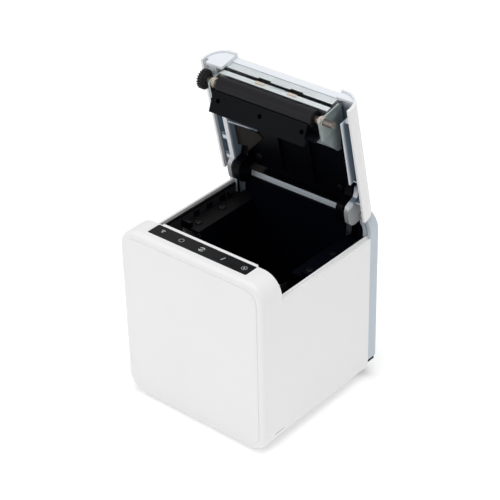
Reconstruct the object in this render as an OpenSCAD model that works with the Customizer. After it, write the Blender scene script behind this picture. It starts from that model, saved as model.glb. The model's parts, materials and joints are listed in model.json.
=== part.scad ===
// Cube-shaped desktop receipt printer with a clamshell lid, shown with the lid open.
// Millimetres, +Z up. The front faces -Y and the origin is under the centre of the body.
// Every module is drawn in design coordinates: x across, y back from the front face and
// z up from the underside of the housing. placed() moves them to the part's own frame.

/* [Body] */
// Width of the body
body_w = 127; // [126:1:132]
// Depth of the body, front face to rear face
body_d = 127; // [126:1:132]
// Height of the housing without its feet
body_h = 136; // [136:1:140]
// Radius of the four long corners
corner_r = 15; // [13:0.5:16]
// Wall thickness of the housing
wall = 2.4; // [2.4:0.1:2.8]
// Thickness of the front plate and its face panel
front_t = 4.6; // [4.6:0.1:5]
// Where the side walls end and the rear shell starts
side_d = 116.4; // [116.4:0.1:117]
// Height of the rubber feet below the housing
foot_h = 1.2; // [1:0.1:2]

/* [Bezel and sill] */
// Depth of the top bezel, with the paper exit behind it
bezel_d = 21.9; // [21:0.1:22]
// Half length of the indicator window
window_half = 42.8; // [30:0.2:43]
// Front edge of the indicator window
window_y0 = 7.5; // [7:0.1:8]
// Rear edge of the indicator window
window_y1 = 19.3; // [19:0.1:19.5]
// Height of the outer ledge of the side walls
ledge_z = 117.5; // [117:0.1:117.6]
// Height of the inner tongue of the left side wall
tongue_z = 121.7; // [120:0.1:122]
// Height of the inner tongue of the right side wall
tongue_right_z = 118.5; // [118:0.1:120]

/* [Lid] */
// Opening angle of the lid in the modelled pose
lid_open = 78; // [0:1:78]
// Distance of the hinge axis behind the front face
hinge_y = 122.4; // [122.2:0.1:122.6]
// Height of the hinge axis
hinge_z = 130; // [129.8:0.1:130.2]
// Thickness of the lid skin
lid_t = 1.9; // [1.7:0.1:1.9]
// Front edge of the lid
lid_y0 = 21; // [21:0.1:21.2]

/* [Platen] */
// Distance of the platen axis behind the front face, lid closed
platen_y = 29.9; // [29.8:0.1:30]
// Height of the platen axis, lid closed
platen_z = 110.4; // [110.3:0.1:110.5]
// Radius of the platen rubber
platen_r = 5.7; // [5.5:0.1:5.8]
// Half length of the platen rubber
platen_half = 40.8; // [40:0.1:41]
// Radius of the platen shaft
shaft_r = 2.5; // [2:0.1:2.5]

/* [Gears] */
// Gear module
gear_m = 0.6; // [0.6:0.01:0.61]
// Teeth of the gear on the platen shaft
platen_teeth = 22; // [22]
// Teeth of the idler gear
idler_teeth = 44; // [44]
// Teeth of the feed motor's pinion
pinion_teeth = 16; // [16]

/* [Cutter] */
// Height of the underside of the moving blade
blade_z = 121.9; // [121.8:0.1:122]
// Half length of the moving blade
blade_half = 43; // [42:0.5:43]

/* [Paper bin] */
// Inner radius of the trough that holds the roll
bin_r = 40.2; // [38:0.1:40.2]
// Half of the clear width of the bin
bin_half = 41.5; // [40.5:0.5:41.5]
// Height of the trough's axis
bin_z = 58; // [57:0.5:59]

/* [Hidden] */
$fn = 64;

slip = 0.05;                       // radial clearance of a running fit
gap = 0.3;                         // clearance between neighbouring pieces
tongue_in = wall - 0.2;            // inset of the tongue's outer face
tongue_t = 1.8;
tongue_y = 21.2;                   // where the tongue's front arc ends
rim_x0 = -40.5;                    // full-height rim behind the window
rim_x1 = 42.5;
cut_half = 45;                     // half width of the paper cut-out in the lid's front wall
window_x0 = -window_half;
window_x1 = window_half + 0.8;
flange_in = 6.6;                   // width of the rear shell's front flange
bay_half = 46;                     // half width of the cable bay
bay_z = 24;                        // height of the cable bay
rear_f = 2.6;                      // radius of the rear shell's outer edge
rear_low = 15;                     // lower edge of the rear shell
arm_x0 = 43;                       // black hinge arm, inner side
arm_x1 = 49;
goose_x0 = 50.4;                   // arm of the lid frame beside it, inner side
goose_x1 = 53.9;
pin_r = 2;
lug_t = 3;                         // thickness of the lugs that hold the hinge pins
pin_x0 = arm_x0 - gap - lug_t + 0.3;
pin_x1 = goose_x1 + gap + lug_t - 0.3;
hub_r = 3.4;                       // hub of a hinge arm
arm_y1 = 121.8;                    // rear side of a hinge arm, lid shut
hook_y = [33, 93, 111];            // snap hooks of the lid cover
barrel_r = 7.2;                    // round edge of the rear shell, concentric with the hinge
liner_r = 8.2;                     // clearance of the lid's liner round the hinge
bin_t = 1.6;
bin_y = side_d - 0.1 - bin_t - bin_r;
shelf_z = 112;                     // shelf at each side of the bin
shelf_y = 57;
screen_y = 25.2;
bin_screw_y = [66, 92];
wide_x = body_w / 2 - wall - tongue_t - 0.1;
plate_x0 = 50.6;                   // chassis side plate, inner side
plate_x1 = 51.8;
plate_z = 117.2;                   // top of the side plates
bracket_x0 = 46.4;                 // lid bracket side plate, inner side
bracket_x1 = 47.6;
bushing_r = 3.1;
gear_x0 = -56.5;                   // gear train, outer side
gear_x1 = -52.6;
wall_y = 22.3;                     // front face of the lid's front walls
pocket_z = 122.2;                  // lower edge of the ribs that the housing's tongue passes
skirt_z = 118.4;                   // lower edge of the skirts' inner walls
skin_t = 1.1;                      // thickness of the lid's outer cover
lining_z = 120.6;                  // lower edge of the lid frame's lining
post_x = 36;                       // lid screws
post_y = [60, 104];
blade_face = 25.6;                 // front face of the blade unit in the lid
slot_z0 = 120.6;                   // slot that the moving blade enters
slot_z1 = 124;
tilt = atan((hinge_z - platen_z) / (hinge_y - platen_y));
motor_y = 16;
motor_z = 80;
platen_pr = gear_m * platen_teeth / 2;
idler_pr = gear_m * idler_teeth / 2;
pinion_pr = gear_m * pinion_teeth / 2;
mesh_a = platen_pr + idler_pr + 0.08;
mesh_b = idler_pr + pinion_pr + 0.08;
span = norm([platen_y - motor_y, platen_z - motor_z]);
along = (mesh_a * mesh_a - mesh_b * mesh_b + span * span) / (2 * span);
off = sqrt(mesh_a * mesh_a - along * along);
dir_y = (motor_y - platen_y) / span;
dir_z = (motor_z - platen_z) / span;
idler_y = platen_y + along * dir_y - off * dir_z;
idler_z = platen_z + along * dir_z + off * dir_y;
cut_m = 0.5;
cut_teeth = 16;
cut_pr = cut_m * cut_teeth / 2;
cut_x = 28;
cut_y = 12;
blade_tip = 21.3;                  // cutting edge of the moving blade at home
board_z = 5.4;
foot_x = 42;
foot_y = [24, 98];
boss_x = 48;
boss_y = [16, 104];
io_y = 112.6;                      // rear face of the connectors' panel, less its thickness
port_y = io_y + 0.2;
bay_back = body_d - wall - 0.2;

// ---------- frames ----------
module placed() { translate([0, -body_d / 2, foot_h]) children(); }

module in_lid() {
    placed() translate([0, hinge_y, hinge_z]) rotate([-lid_open, 0, 0])
        translate([0, -hinge_y, -hinge_z]) children();
}

module at_platen() { translate([0, platen_y, platen_z]) children(); }

// Frame of the print head: +Y points from the head to the platen, +Z along the platen's path
module at_head() { at_platen() rotate([tilt, 0, 0]) children(); }

// ---------- helpers ----------
module box(x0, x1, y0, y1, z0, z1) { translate([x0, y0, z0]) cube([x1 - x0, y1 - y0, z1 - z0]); }

module both() {
    children();
    mirror([1, 0, 0]) children();
}

// 2D drawing in (x, z), extruded from y0 to y1
module along_y(y0, y1) {
    translate([0, y1, 0]) rotate([90, 0, 0]) linear_extrude(height = y1 - y0) children();
}

// 2D drawing in (y, z), extruded from x0 to x1
module along_x(x0, x1) {
    translate([x0, 0, 0]) rotate([90, 0, 90]) linear_extrude(height = x1 - x0) children();
}

module rod_x(x0, x1, r) { translate([x0, 0, 0]) rotate([0, 90, 0]) cylinder(h = x1 - x0, r = r); }

module rod_y(y0, y1, r) { translate([0, y1, 0]) rotate([90, 0, 0]) cylinder(h = y1 - y0, r = r); }

// Rounded rectangle from (x0, z0) to (x1, z1)
module rrect(x0, x1, z0, z1, r) {
    translate([x0 + r, z0]) square([x1 - x0 - 2 * r, z1 - z0]);
    translate([x0, z0 + r]) square([x1 - x0, z1 - z0 - 2 * r]);
    for (x = [x0 + r, x1 - r]) for (z = [z0 + r, z1 - r]) translate([x, z]) circle(r);
}

// Cross-section of the body, moved in by a distance
module section(inset) {
    rrect(-body_w / 2 + inset, body_w / 2 - inset, inset, body_h - inset, max(corner_r - inset, 1));
}

module ring(inset, t) {
    difference() {
        section(inset);
        section(inset + t);
    }
}

// Edge profile of a plate: r wide, t thick, with its outer front edge rounded by f
module edge_profile(r, t, f) {
    square([r - f, t]);
    square([r, t - f]);
    translate([r - f, t - f]) circle(f);
}

// Rounded plate lying in x-z, its back at y = 0 and its rounded face towards -Y
module soft_plate(w, z0, z1, r, t, f) {
    x = w / 2 - r;
    for (sx = [-1, 1]) for (z = [z0 + r, z1 - r])
        translate([sx * x, 0, z]) rotate([90, 0, 0]) rotate_extrude() soft_half(r, t, f);
    along_edge(x, z0 + r, r, t, f, 180);
    along_edge(x, z1 - r, r, t, f, 0);
    side_edge(x, z0 + r, z1 - r, r, t, f);
    mirror([1, 0, 0]) side_edge(x, z0 + r, z1 - r, r, t, f);
    box(-x, x, -t, 0, z0 + r, z1 - r);
}

module soft_half(r, t, f) {
    intersection() {
        edge_profile(r, t, f);
        square([r, t]);
    }
}

module along_edge(x, z, r, t, f, turn) {
    translate([0, 0, z]) rotate([0, turn, 0]) translate([-x, 0, 0]) rotate([90, 0, 90])
        linear_extrude(height = 2 * x) rotate(90) soft_half(r, t, f);
}

module side_edge(x, z0, z1, r, t, f) {
    translate([x, 0, z0]) linear_extrude(height = z1 - z0) mirror([0, 1]) soft_half(r, t, f);
}

// Straight-sided gear along x, teeth as trapezoids, one tooth centred on +Y
module gear_2d(teeth, m, bore) {
    pr = m * teeth / 2;
    step = 360 / teeth;
    tooth = [[-0.34, -1.15], [-0.14, 0.92], [0.14, 0.92], [0.34, -1.15]];
    points = [for (i = [0 : teeth - 1]) for (p = tooth)
        let (a = (i + p[0]) * step, r = pr + p[1] * m) [r * cos(a), r * sin(a)]];
    difference() {
        polygon(points);
        circle(bore);
    }
}

// Countersunk-style screw along +Z, head underneath
module screw_up(head_r, head_h, r, length) {
    cylinder(h = head_h, r = head_r, $fn = 32);
    translate([0, 0, head_h - 0.01]) cylinder(h = length + 0.01, r = r, $fn = 32);
}

// ---------- outer casing ----------
module front_plate() color("white") placed() difference() {
    translate([0, front_t, 0]) soft_plate(body_w, 0, body_h, corner_r, front_t - 0.5, 3.4);
    along_y(2.9, front_t + 1) rrect(-body_w / 2 + 4.6, body_w / 2 - 4.6, 4.6, body_h - 4.6, corner_r - 4.6);
}

module front_panel() color("white") placed()
    translate([0, 0.5, 0]) soft_plate(116.4, 5.3, body_h - 5.3, 10, 0.5, 0.4);

module housing() color("white") placed() {
    difference() {
        union() {
            along_y(front_t, side_d) ring(0, wall);
            // ledge that carries the base plate, and its screw bosses
            box(-53, 53, 7, 113, wall - 0.4, 4.4);
            for (x = [-boss_x, boss_x]) for (y = boss_y) translate([x, y, 4]) cylinder(h = 8, r = 3);
        }
        // opening for the lid
        box(-body_w, body_w, 20, body_d, ledge_z, body_h + 1);
        // recess of the indicator window
        translate([0, 0, body_h - 1.2]) linear_extrude(height = 2)
            rrect(window_x0 - 0.1, window_x1 + 0.1, window_y0 - 0.1, window_y1 + 0.1, 1.2);
        // base plate and the space above it
        box(-50, 50, 10, 110, -1, wall);
        box(-45.5, 45.5, 14.5, 105.5, -1, 5);
        box(-55, 55, 110.5, 118, -1, 5);
        for (x = [-boss_x, boss_x]) for (y = boss_y) translate([x, y, -1]) cylinder(h = 11, r = 1.25);
        // finger slot low on the right side
        box(body_w / 2 - 0.9, body_w / 2 + 1, 11.2, 20.6, 11.9, 13.1);
    }
    // rim behind the indicator window
    intersection() {
        along_y(20, bezel_d) ring(0, wall);
        box(rim_x0, rim_x1, 19, 23, 120, body_h);
    }
    // tongue round the opening, cut short at the left where the platen gear swings past
    intersection() {
        along_y(17, tongue_y) ring(tongue_in, tongue_t);
        union() {
            box(-body_w, body_w, 16, 19.8, ledge_z - 10, body_h);
            box(-body_w, body_w, 16, 23, ledge_z - 10, tongue_z);
            box(0, body_w, 16, 23, ledge_z - 10, body_h);
        }
    }
    intersection() {
        along_y(tongue_y - 0.1, side_d) ring(tongue_in, tongue_t);
        union() {
            box(-body_w, 0, 17, side_d, ledge_z - 10, tongue_z);
            box(-1, body_w, 17, side_d, ledge_z - 10, tongue_right_z);
        }
    }
}

module indicator_window() color([0.05, 0.05, 0.06]) placed()
    translate([0, 0, body_h - 1.2]) linear_extrude(height = 1.1)
        rrect(window_x0, window_x1, window_y0, window_y1, 1.1);

module arc_2d(r, w, a0, a1) {
    rotate(a0) intersection() {
        difference() {
            circle(r + w / 2, $fn = 48);
            circle(r - w / 2, $fn = 48);
        }
        polygon([[0, 0], [3 * r, 0], 3 * r * [cos((a1 - a0) / 2), sin((a1 - a0) / 2)],
            3 * r * [cos(a1 - a0), sin(a1 - a0)]]);
    }
}

module icon_signal() {
    circle(0.55, $fn = 24);
    for (r = [1.3, 2.2]) arc_2d(r, 0.4, 50, 130);
}

module icon_dashes(parts, r) {
    for (i = [0 : parts - 1]) arc_2d(r, 0.35, 360 / parts * i, 360 / parts * (i + 0.6));
}

module icon_feed() {
    arc_2d(2, 0.5, 20, 160);
    arc_2d(2, 0.5, 200, 340);
    rotate(60) square([3, 0.5], center = true);
}

module icon_bar() { rotate(70) square([4, 0.5], center = true); }

module indicator_icons() color([0.85, 0.86, 0.87]) placed()
    translate([0.8, (window_y0 + window_y1) / 2, body_h - 0.1]) linear_extrude(height = 0.1) {
        translate([-35.4, 0]) icon_signal();
        translate([-18, 0]) icon_dashes(8, 1.8);
        icon_feed();
        translate([18.6, 0]) icon_bar();
        translate([36.8, 0]) {
            icon_dashes(10, 1.9);
            circle(0.6, $fn = 24);
        }
    }

// ---------- rear ----------
module hinge_lug(x0, x1) {
    along_x(x0, x1) translate([hinge_y - hub_r, 124]) square([body_d - wall + 0.4 - hinge_y + hub_r, 10]);
}

module rear_shell() color([0.8, 0.83, 0.86]) placed() difference() {
    union() {
        difference() {
            translate([0, side_d, 0]) mirror([0, 1, 0])
                soft_plate(body_w, 0, body_h, corner_r, body_d - side_d, rear_f);
            along_y(side_d - 1, body_d - wall) section(wall);
        }
        along_y(side_d, side_d + 2) ring(wall - 0.2, flange_in - wall + 0.2);
        both() {
            hinge_lug(arm_x0 - gap - lug_t, arm_x0 - gap);
            hinge_lug(goose_x1 + gap, goose_x1 + gap + lug_t);
        }
    }
    // groove in the flange, outside the hinge arms
    difference() {
        along_y(side_d - 1, side_d + 1.2) ring(2.7, 1);
        box(-arm_x0, arm_x0, side_d - 2, side_d + 2, 124, body_h);
    }
    // notches for the hinge arms, deeper in the flange
    both() box(arm_x0 - gap, goose_x1 + gap, side_d - 1, body_d + 1, 124.2, body_h + 1);
    both() box(arm_x0 - gap, goose_x1 + gap, side_d - 1, side_d + 4, 120, body_h + 1);
    both() translate([0, hinge_y, hinge_z]) rod_x(pin_x0 - 1, pin_x1 + 1, pin_r);
    // barrel round the hinge axis, so that the lid's rear edge can pass
    difference() {
        box(-body_w, body_w, side_d - 1, hinge_y, hinge_z, body_h + 1);
        translate([0, hinge_y, hinge_z]) rod_x(-body_w, body_w, barrel_r);
    }
    // open underneath, with an arch for the cables
    box(-body_w, body_w, side_d - 1, body_d + 1, -1, rear_low);
    box(-bay_half - 3, bay_half + 3, side_d - 1, body_d + 1, 0, bay_z + 2);
}

module hinge_pins() color("silver") placed() both()
    translate([0, hinge_y, hinge_z]) rod_x(pin_x0, pin_x1, pin_r);

module rear_caps() color([0.06, 0.06, 0.07]) placed() both()
    translate([0, 0, rear_low - 2.6]) linear_extrude(height = 2.6)
        polygon([[bay_half + 3.2, side_d + 0.8], [body_w / 2 - 0.4, side_d + 0.8],
            [body_w / 2 - 0.4, body_d - 3], [body_w / 2 - 3, body_d - 0.5], [bay_half + 3.2, body_d - 0.5]]);

// ---------- connectors ----------
module port_cut(x, w, h, z0) { box(x - w / 2, x + w / 2, io_y - 1, io_y + 3, z0, z0 + h); }

module io_panel() color([0.07, 0.07, 0.08]) placed() difference() {
    union() {
        box(-bay_half - 2, bay_half + 2, io_y, io_y + 1.6, 0.2, bay_z);
        box(-bay_half - 2, bay_half + 2, io_y, bay_back, bay_z, bay_z + 1.6);
        both() along_x(bay_half + 0.6, bay_half + 2) polygon([[io_y, 0.2], [side_d - 0.2, 0.2],
            [side_d - 0.2, rear_low + 0.2], [bay_back, rear_low + 0.2], [bay_back, bay_z + 1],
            [io_y, bay_z + 1]]);
    }
    port_cut(-34, 13.4, 13.4, board_z + 1.6);
    port_cut(-16, 12.4, 11.4, board_z + 1.6);
    port_cut(3, 16.4, 13.4, board_z + 1.6);
    port_cut(21, 13.4, 11.9, board_z + 1.6);
    port_cut(37, 13, 9.4, 7.3);
}

// Square socket on the board, open to the rear
module socket(x, w, h, hole_w, hole_h) {
    middle = board_z + 1.6 + h / 2;
    difference() {
        box(x - w / 2, x + w / 2, 98, port_y + 1.6, board_z + 1.6, board_z + 1.6 + h);
        box(x - hole_w / 2, x + hole_w / 2, 102, 120, middle - hole_h / 2, middle + hole_h / 2);
    }
}

module dc_jack() color([0.1, 0.1, 0.11]) placed() {
    difference() {
        box(-40.5, -27.5, 98, port_y + 1.6, board_z + 1.6, board_z + 14.6);
        translate([-34, 0, board_z + 8.1]) rod_y(102, 120, 4.8);
    }
    for (a = [90, 210, 330]) translate([-34 + 2.4 * cos(a), 0, board_z + 8.1 + 2.4 * sin(a)])
        rod_y(101.9, 110, 0.5, $fn = 16);
}

module usb_port() color("silver") placed() {
    socket(-16, 12, 11, 9, 8);
    box(-18.5, -13.5, 101.9, 112, board_z + 5.7, board_z + 8.3);
}

module lan_port() color("silver") placed() socket(3, 16, 13, 12, 8);

module drawer_port() color([0.12, 0.12, 0.13]) placed() socket(21, 13, 11.5, 9.8, 7);

module switch_body() color([0.08, 0.08, 0.09]) placed() difference() {
    union() {
        box(30.6, 43.4, 104, io_y + 1.6, 7.4, 16.6);
        box(29.6, 44.4, io_y + 1.6, io_y + 2.6, 6.6, 17.4);
    }
    box(32.2, 41.8, 106, 120, 8, 16);
    translate([0, 110.6, 12]) rod_x(30, 44, 0.65, $fn = 32);
}

module switch_rocker() color([0.1, 0.1, 0.11]) placed() translate([0, 110.6, 12]) difference() {
    union() {
        rod_x(32.5, 41.5, 3.2);
        along_x(32.5, 41.5) polygon([[0, -3], [3.8, -2.9], [3.3, 0], [4.3, 2.9], [0, 3]]);
        rod_x(30.8, 43.2, 0.6, $fn = 32);
    }
    box(36, 38, 3.7, 6, 1.4, 2.2);
}

module control_board() color([0.05, 0.25, 0.12]) placed() {
    box(-44, 44, 40, 112, board_z, board_z + 1.6);
    box(-10, 6, 62, 78, board_z + 1.5, board_z + 3);
    box(14, 26, 58, 66, board_z + 1.5, board_z + 3.2);
    box(-30, -22, 56, 62, board_z + 1.5, board_z + 4);
    for (x = [-38, 32, 39]) translate([x, 48, board_z + 1.5]) cylinder(h = 9, r = 3.1, $fn = 32);
}

// ---------- base ----------
module base_plate() color([0.85, 0.86, 0.87]) placed() difference() {
    union() {
        box(-49.8, 49.8, 10.2, 109.8, 0.3, wall - 0.05);
        for (x = [-40, 40]) for (y = [43, 102]) translate([x, y, 2]) cylinder(h = board_z - 2, r = 2.5);
    }
    for (x = [-foot_x, foot_x]) for (y = foot_y) translate([x, y, -1]) cylinder(h = 2.2, r = 6.1);
    for (x = [-boss_x, boss_x]) for (y = boss_y) translate([x, y, -1]) {
        cylinder(h = 4, r = 1.3);
        cylinder(h = 2.1, r = 1.75);
    }
    for (i = [-4 : 4]) box(-18, 18, 60 + 4 * i - 0.8, 60 + 4 * i + 0.8, -1, 4);
}

module rubber_feet() color([0.15, 0.15, 0.16]) placed()
    for (x = [-foot_x, foot_x]) for (y = foot_y) translate([x, y, -foot_h]) {
        cylinder(h = foot_h + 1.2, r = 6);
    }

module base_screws() color("silver") placed()
    for (x = [-boss_x, boss_x]) for (y = boss_y) translate([x, y, 0.35]) screw_up(1.7, 0.75, 1.2, 7.5);

// ---------- paper bin ----------
module bin_side(r) {
    translate([bin_y, bin_z]) circle(r, $fn = 128);
    translate([bin_y - r, bin_z]) square([2 * r, 60]);
}

// Floor and back of the pocket that a pair of hinge arms drops into
module arm_pocket() {
    box(arm_x0 - gap + 0.1, goose_x1 + gap - 0.1, side_d - 1, arm_y1 + 1.6, shelf_z - 1.6, shelf_z);
    box(arm_x0 - gap + 0.1, goose_x1 + gap - 0.1, arm_y1 + 0.5, arm_y1 + 1.6, 100, 124);
}

module paper_bin() color([0.03, 0.03, 0.04]) placed() difference() {
    union() {
        difference() {
            along_x(-bin_half - bin_t, bin_half + bin_t) bin_side(bin_r + bin_t);
            box(-60, 60, 0, 60, 92, 130);
            box(-60, 60, 0, 130, shelf_z, 130);
        }
        // shelf, upstands and rear wall
        box(-wide_x, wide_x, shelf_y, side_d - 0.1, shelf_z - 1.6, shelf_z);
        box(-wide_x, 1.4 - wide_x, shelf_y, side_d - 0.1, shelf_z - 1, 119.4);
        // screen beside the gear train, in front of the left shelf
        box(-wide_x, 1.2 - wide_x, screen_y, shelf_y + 1, 96, 119.4);
        box(wide_x - 1.4, wide_x, shelf_y, side_d - 0.1, shelf_z - 1, 117.8);
        both() box(wide_x - 9.4, wide_x, shelf_y, shelf_y + 3, shelf_z - 1, 116);
        box(-wide_x + 4.5, wide_x - 4.5, side_d - 1.7, side_d - 0.1, shelf_z - 1, 125);
        box(gap - arm_x0, arm_x0 - gap, side_d - 1.7, side_d - 0.1, shelf_z - 1, 131);
        // pockets behind the hinge arms
        both() arm_pocket();
        // ribs and a latch pocket on the left shelf
        for (y = [70, 84, 98]) box(-wide_x + 1, -wide_x + 2.6, y, y + 5, shelf_z - 1, 117);
        box(-wide_x + 1, -wide_x + 5, 106.5, 107.7, shelf_z - 1, 115.5);
        // lip that leads the paper to the print head
        along_x(-bin_half, bin_half) polygon([[32.8, 90], [34.3, 90], [34.3, 92.5], [29.6, 98.6], [28.4, 97.6],
            [32.8, 91.9]]);
    }
    along_x(-bin_half, bin_half) intersection() {
        bin_side(bin_r);
        translate([bin_y - bin_r, 0]) square([2 * bin_r, 140]);
    }
    // window for the near-end sensor
    box(-bin_half - 3, -bin_half + 1, 70, 78, 28, 34);
    // way for the hinge arms
    both() box(arm_x0 - gap, goose_x1 + gap, side_d - 3, side_d + 1, shelf_z + 0.2, 126);
    for (x = [-50, 50]) for (y = bin_screw_y) translate([x, y, shelf_z - 3]) cylinder(h = 6, r = 1.3);
}

module bin_screws() color([0.5, 0.5, 0.52]) placed()
    for (x = [-50, 50]) for (y = bin_screw_y) translate([x, y, shelf_z + 1.2]) mirror([0, 0, 1])
        screw_up(2.4, 1.2, 1.25, 5);

module near_end_sensor() color([0.1, 0.1, 0.12]) placed() {
    box(-bin_half - 5.6, -bin_half - bin_t, 66, 82, 24, 38);
    box(-bin_half - bin_t - 0.1, -bin_half - 0.2, 70.2, 77.8, 28.2, 33.8);
}

// ---------- print mechanism in the body ----------
module chassis() color([0.72, 0.74, 0.76]) placed() difference() {
    union() {
        box(-plate_x1, -plate_x0, 9, 44, 66, plate_z);
        box(plate_x0, plate_x1, 9, 40, 76, plate_z);
        box(-plate_x1, plate_x1, 10, 18, 99, 100.2);
        box(-plate_x1, plate_x1, 10, 11.2, 99, 103.5);
        both() box(plate_x0, 58, 9, 10.2, 86, 104);
    }
    // open seats for the platen shaft
    at_head() along_x(-60, 60) {
        circle(shaft_r + 0.5);
        translate([-shaft_r - 0.5, 0]) square([2 * shaft_r + 1, 20]);
    }
    head_axis() rod_x(-60, 60, 1.5 + slip);
    translate([0, motor_y, motor_z]) rod_x(-60, 0, 1.2);
    translate([0, idler_y, idler_z]) rod_x(-60, 0, 1.5);
}

module head_axis() { at_head() translate([0, -platen_r - 3.1, -15]) children(); }

module heat_sink() color("silver") placed() {
    at_head() difference() {
        union() {
            box(-44.5, 44.5, -platen_r - 4.8, -platen_r - 1.4, -17, 5);
            box(-plate_x0 + 0.4, plate_x0 - 0.4, -platen_r - 4.8, -platen_r - 1.4, -17, -13);
        }
        for (z = [-9, -4, 1]) box(-50, 50, -platen_r - 6, -platen_r - 3.8, z - 1.2, z + 1.2);
    }
    head_axis() rod_x(-plate_x1 - 0.2, plate_x1 + 0.2, 1.5);
}

module thermal_head() color([0.16, 0.13, 0.12]) placed() at_head()
    box(-41.5, 41.5, -platen_r - 1.4, -platen_r - gap, -9, 4);

module head_spring() color("gold") placed() both() {
    along_x(14, 20) polygon([[11.4, 100.2], [16.6, 100.2], [18.5, 105.6], [17.9, 108.4], [17.5, 108.3],
        [18.1, 105.6], [16.3, 100.6], [11.4, 100.6]]);
}

// Sprung tabs beside the seats, which hold the platen shaft once it is pressed down
module latch_springs() color("silver") placed() both() at_head()
    along_x(plate_x0 - 1.2, plate_x0) polygon([[shaft_r + 3, -16], [shaft_r + 3.6, -16], [shaft_r + 3.6, 1],
        [shaft_r + 1.1, 3.2], [shaft_r + 3.6, 5.4], [shaft_r + 3.2, 5.8], [shaft_r + 0.5, 3.2],
        [shaft_r + 3, 0.8]]);

module feed_motor() color("silver") placed() {
    translate([0, motor_y, motor_z]) difference() {
        union() {
            rod_x(-plate_x0, -34, 10);
            box(-plate_x0, -plate_x0 + 1, -3.5, 3.5, -13, 13);
        }
        rod_x(-60, 0, 1.05);
    }
    // fixed stud of the idler gear
    translate([0, idler_y, idler_z]) {
        rod_x(-57.4, -plate_x0, 1.5);
        rod_x(-57.4, -56.9, 2.4);
    }
}

module motor_pinion() color("white") placed() translate([0, motor_y, motor_z]) {
    translate([gear_x0, 0, 0]) rotate([90, 0, 90]) linear_extrude(height = gear_x1 - gear_x0)
        rotate(pinion_phase) gear_2d(pinion_teeth, gear_m, 0.4);
    rod_x(-57, -36, 1);
}

module idler_gear() color("white") placed() translate([gear_x0, idler_y, idler_z]) rotate([90, 0, 90])
    difference() {
        union() {
            linear_extrude(height = gear_x1 - gear_x0 - 1) rotate(idler_phase)
                gear_2d(idler_teeth, gear_m, 1.5 + slip);
            cylinder(h = gear_x1 - gear_x0, r = 4);
        }
        translate([0, 0, -1]) cylinder(h = 8, r = 1.5 + slip);
    }

// Gear phases: a platen tooth points at the idler, and the idler shows it a gap
to_idler = atan2(idler_z - platen_z, idler_y - platen_y);
to_pinion = atan2(motor_z - idler_z, motor_y - idler_y);
platen_phase = to_idler;
idler_phase = to_idler + 180 + 180 / idler_teeth;
idler_turns = (to_pinion - idler_phase) * idler_teeth / 360;
pinion_phase = to_pinion + 180 + (idler_turns - floor(idler_turns) + 0.5) * 360 / pinion_teeth;

// ---------- cutter in the body ----------
module cutter_frame() color([0.2, 0.2, 0.21]) placed() difference() {
    union() {
        box(-48.2, 48.2, 4.8, 19.6, 118.9, 120.1);
        both() box(47, 48.2, 4.8, 19.6, 118.9, 127);
        box(-48.2, 48.2, 4.8, 18, 125.8, 127);
    }
    translate([cut_x, cut_y, 110]) cylinder(h = 20, r = 1.6);
}

// Rack along the blade's return, with its teeth towards the pinion
module rack_2d() {
    root = cut_x + cut_pr + 0.62;
    polygon(concat([for (i = [-4 : 1]) for (p = [[0, -0.5], [-1.04, -0.16], [-1.04, 0.16], [0, 0.5]])
        [root + p[0], cut_y + i * PI * cut_m + p[1]]],
        [[root + 3, cut_y + PI * cut_m + 0.5], [root + 3, 5.2]]));
}

module blade_outline() {
    dip = 0.9;
    difference() {
        polygon([[-blade_half, 9.5], [blade_half, 9.5], [blade_half, blade_tip], [0, blade_tip - dip],
            [-blade_half, blade_tip]]);
        translate([cut_x - cut_pr - 1.2, 0]) square([2 * cut_pr + 2, 16.8]);
        for (x = [-30, -10, 8]) translate([x, 14.5]) circle(1.6, $fn = 32);
    }
}

module moving_blade() color("silver") placed() translate([0, 0, blade_z]) {
    linear_extrude(height = 0.9) blade_outline();
    linear_extrude(height = 0.9) rack_2d();
}

module cutter_pinion() color("white") placed() translate([cut_x, cut_y, 0]) {
    translate([0, 0, blade_z - 0.3]) linear_extrude(height = 1.5)
        rotate(180 / cut_teeth) gear_2d(cut_teeth, cut_m, 0.3);
    translate([0, 0, 112]) cylinder(h = 12, r = 0.8, $fn = 32);
}

module cutter_motor() color("silver") placed() translate([cut_x, cut_y, 0]) difference() {
    union() {
        translate([0, 0, 104.5]) cylinder(h = 13.6, r = 5.4);
        translate([-8, -3, 117.9]) cube([16, 6, 1]);
    }
    translate([0, 0, 111.5]) cylinder(h = 10, r = 0.85, $fn = 32);
}

// ---------- lid ----------
// Part of the ring above the skirts' lower edge
module above(z) {
    intersection() {
        children();
        translate([-body_w, z]) square([2 * body_w, 30]);
    }
}

// Lid skin as a 2D section, from its lower edge z upwards
module lid_section(inset, t, z) { above(z) ring(inset, t); }

// Everything inside the lid's outer surface
module lid_inside() {
    intersection() {
        children();
        along_y(0, body_d) section(skin_t + 0.05);
    }
}

// Rear edge of the lid, concentric with the hinge, and the ways of the hinge arms
module hinge_clearance() {
    translate([0, hinge_y, hinge_z]) rod_x(-body_w, body_w, barrel_r + gap);
    both() box(arm_x0 - gap, goose_x1 + gap, 113.5, 120, 131, 140);
}

// Skin of the lid, two lengths of it: the skirts end where the rear shell starts
module lid_skin(inset, t, z) {
    along_y(lid_y0, side_d - gap) lid_section(inset, t, z);
    intersection() {
        along_y(side_d - 2, side_d + 1) lid_section(inset, t, z);
        box(-body_w, body_w, 0, body_d, hinge_z, body_h);
    }
}

// Hooks inside the right skirt, or the windows for them in the lining
module snap_hooks(room) {
    for (y = hook_y) box(58.6, body_w / 2 - 0.5, y - room, y + 1.4 + room, 122.4 - room, 124 + room);
}

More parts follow.
